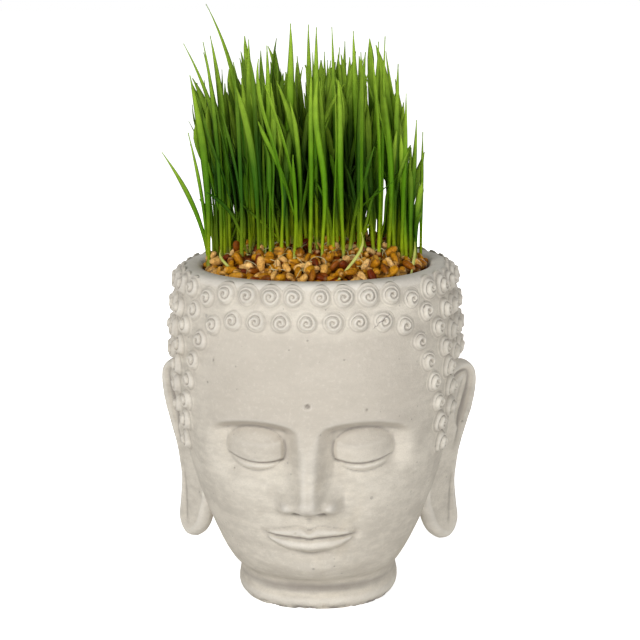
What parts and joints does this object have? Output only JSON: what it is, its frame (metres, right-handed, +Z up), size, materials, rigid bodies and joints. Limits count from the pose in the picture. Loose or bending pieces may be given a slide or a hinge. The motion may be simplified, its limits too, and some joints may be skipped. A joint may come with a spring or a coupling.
{
  "type": "wheatgrass in a head planter",
  "caption": "Cast-concrete planter shaped as a calm head with snail-curl hair and long ears, filled with sprouted grain and a stand of wheatgrass.",
  "frame": {"origin": "middle of the object's box, on the surface that it stands on", "axes": "+Z up through the grass, the face looks along -Y, +X to the right of someone who looks at the face"},
  "size_m": [0.1744, 0.1705, 0.316],
  "materials": {
    "concrete": "matte, mottled, with small air holes",
    "soil": "matte, crumbly",
    "grain": "satin husk",
    "grass": "satin leaf"
  },
  "bodies": {
    "root": {"head_planter": "concrete", "soil": "soil", "grain_bed": "grain", "wheatgrass": "grass"}
  },
  "joints": []
}
